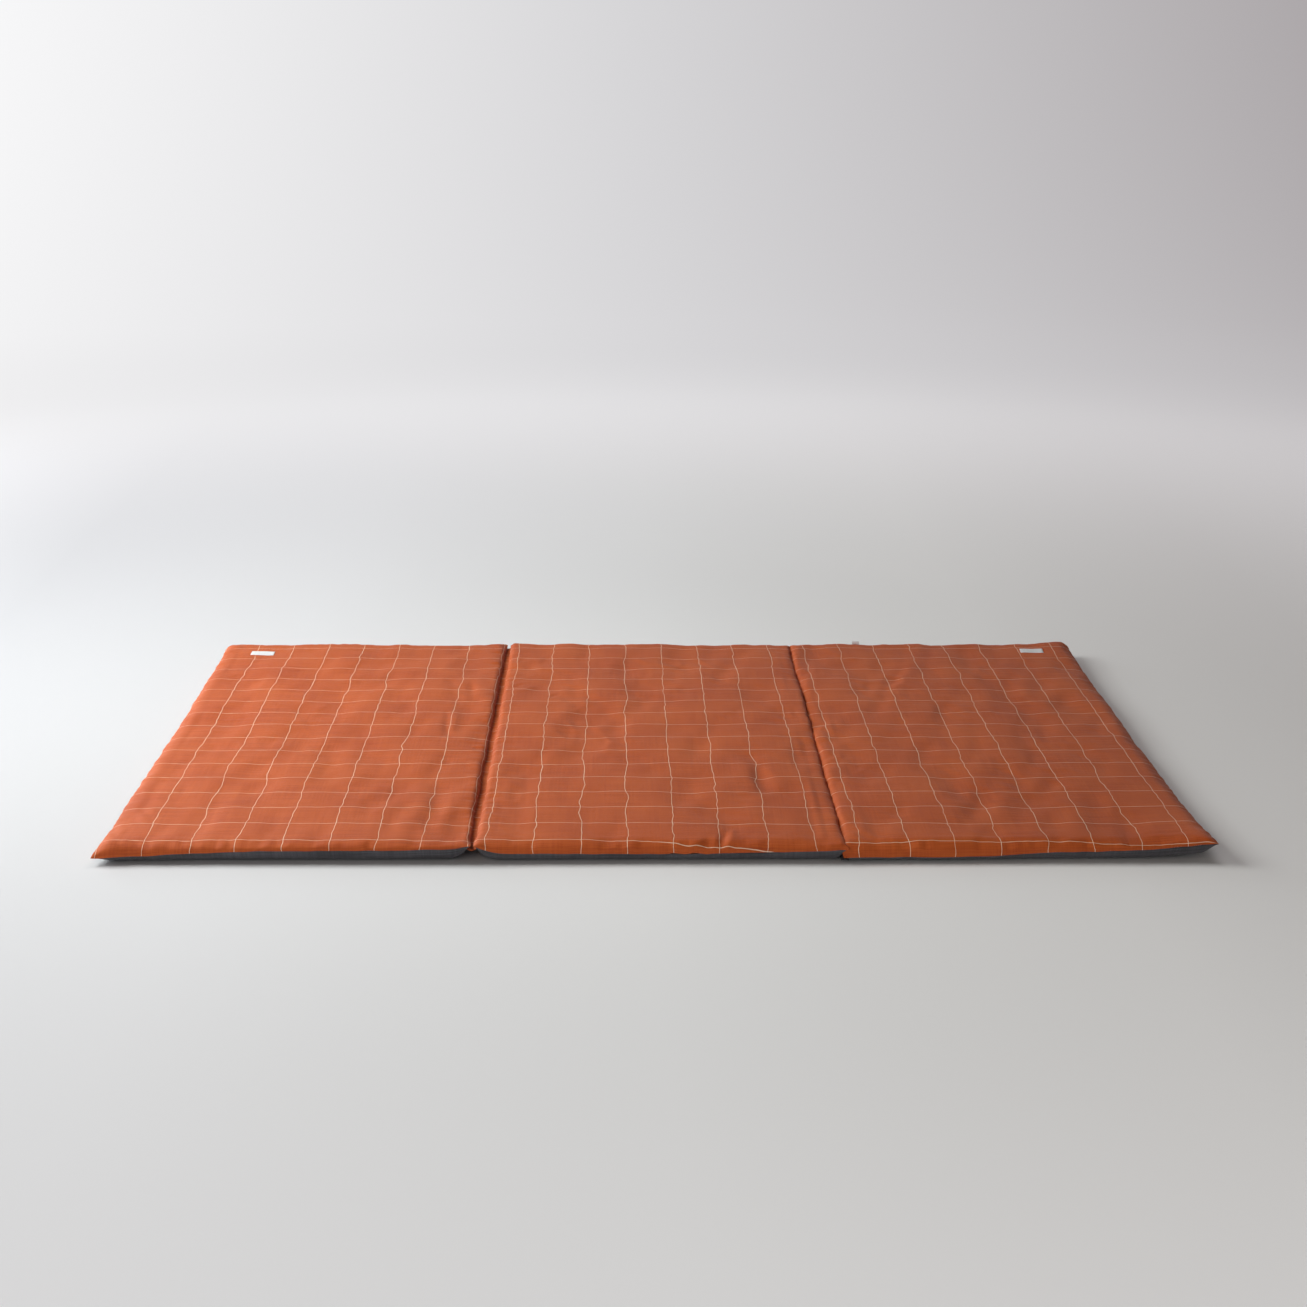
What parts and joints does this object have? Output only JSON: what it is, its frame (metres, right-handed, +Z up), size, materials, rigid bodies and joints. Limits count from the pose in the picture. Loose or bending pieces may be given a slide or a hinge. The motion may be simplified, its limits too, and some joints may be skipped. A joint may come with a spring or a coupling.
{
  "type": "futon mattress",
  "caption": "Thin folding floor mattress: padded cotton pads in a row, checked on top and plain underneath, joined by cloth hinges so that they stack.",
  "frame": {"origin": "middle of the underside, on the floor", "axes": "+X along the row of pads, +Y towards the rear edge with the zips, +Z up out of the checked face"},
  "size_m": [1.95, 1.3006, 0.0404],
  "materials": {
    "check_cotton": "matte",
    "charcoal_cotton": "matte",
    "case_cotton": "matte",
    "cotton_wadding": "matte",
    "pressed_fibre": "matte",
    "zip_tape": "matte",
    "zip_coil": "satin",
    "zip_metal": "satin",
    "label_ribbon": "satin"
  },
  "bodies": {
    "left_pad": {"left_top_cover": "check_cotton", "left_bottom_cover": "charcoal_cotton", "left_inner_case": "case_cotton", "left_upper_wadding": "cotton_wadding", "left_core": "pressed_fibre", "left_lower_wadding": "cotton_wadding", "left_zip_tapes": "zip_tape", "left_zip_coils": "zip_coil", "left_zip_stops": "zip_metal", "left_corner_label": "label_ribbon", "left_hinge_strip": "check_cotton"},
    "middle_pad": {"middle_top_cover": "check_cotton", "middle_bottom_cover": "charcoal_cotton", "middle_inner_case": "case_cotton", "middle_upper_wadding": "cotton_wadding", "middle_core": "pressed_fibre", "middle_lower_wadding": "cotton_wadding", "middle_zip_tapes": "zip_tape", "middle_zip_coils": "zip_coil", "middle_zip_stops": "zip_metal", "right_hinge_strip": "charcoal_cotton"},
    "right_pad": {"right_top_cover": "check_cotton", "right_bottom_cover": "charcoal_cotton", "right_inner_case": "case_cotton", "right_upper_wadding": "cotton_wadding", "right_core": "pressed_fibre", "right_lower_wadding": "cotton_wadding", "right_zip_tapes": "zip_tape", "right_zip_coils": "zip_coil", "right_zip_stops": "zip_metal", "right_corner_label": "label_ribbon", "care_tab": "label_ribbon"},
    "left_slider": {"left_zip_slider": "zip_metal"},
    "left_pull": {"left_zip_pull": "zip_metal"},
    "middle_slider": {"middle_zip_slider": "zip_metal"},
    "middle_pull": {"middle_zip_pull": "zip_metal"},
    "right_slider": {"right_zip_slider": "zip_metal"},
    "right_pull": {"right_zip_pull": "zip_metal"}
  },
  "joints": [
    {"name": "left_fold", "type": "hinge", "parent": "left_pad", "child": "middle_pad", "pos_m": [-0.32575, 0, 0.0405], "axis": [0, -1, 0], "range_deg": [0, 180], "deforming": ["left_hinge_strip"]},
    {"name": "right_fold", "type": "hinge", "parent": "middle_pad", "child": "right_pad", "pos_m": [0.32575, 0, -0.0005], "axis": [0, 1, 0], "range_deg": [0, 180], "deforming": ["right_hinge_strip"]},
    {"name": "left_zip_travel", "type": "slide", "parent": "left_pad", "child": "left_slider", "axis": [1, 0, 0], "range_m": [0, 0.5294]},
    {"name": "left_pull_swing", "type": "hinge", "parent": "left_slider", "child": "left_pull", "pos_m": [-0.9162, 0.6479, 0.017], "axis": [0, 0, 1], "range_deg": [0, 180]},
    {"name": "middle_zip_travel", "type": "slide", "parent": "middle_pad", "child": "middle_slider", "axis": [1, 0, 0], "range_m": [0, 0.5294]},
    {"name": "middle_pull_swing", "type": "hinge", "parent": "middle_slider", "child": "middle_pull", "pos_m": [-0.2647, 0.6479, 0.017], "axis": [0, 0, 1], "range_deg": [0, 180]},
    {"name": "right_zip_travel", "type": "slide", "parent": "right_pad", "child": "right_slider", "axis": [1, 0, 0], "range_m": [0, 0.5294]},
    {"name": "right_pull_swing", "type": "hinge", "parent": "right_slider", "child": "right_pull", "pos_m": [0.3868, 0.6479, 0.017], "axis": [0, 0, 1], "range_deg": [0, 180]}
  ]
}
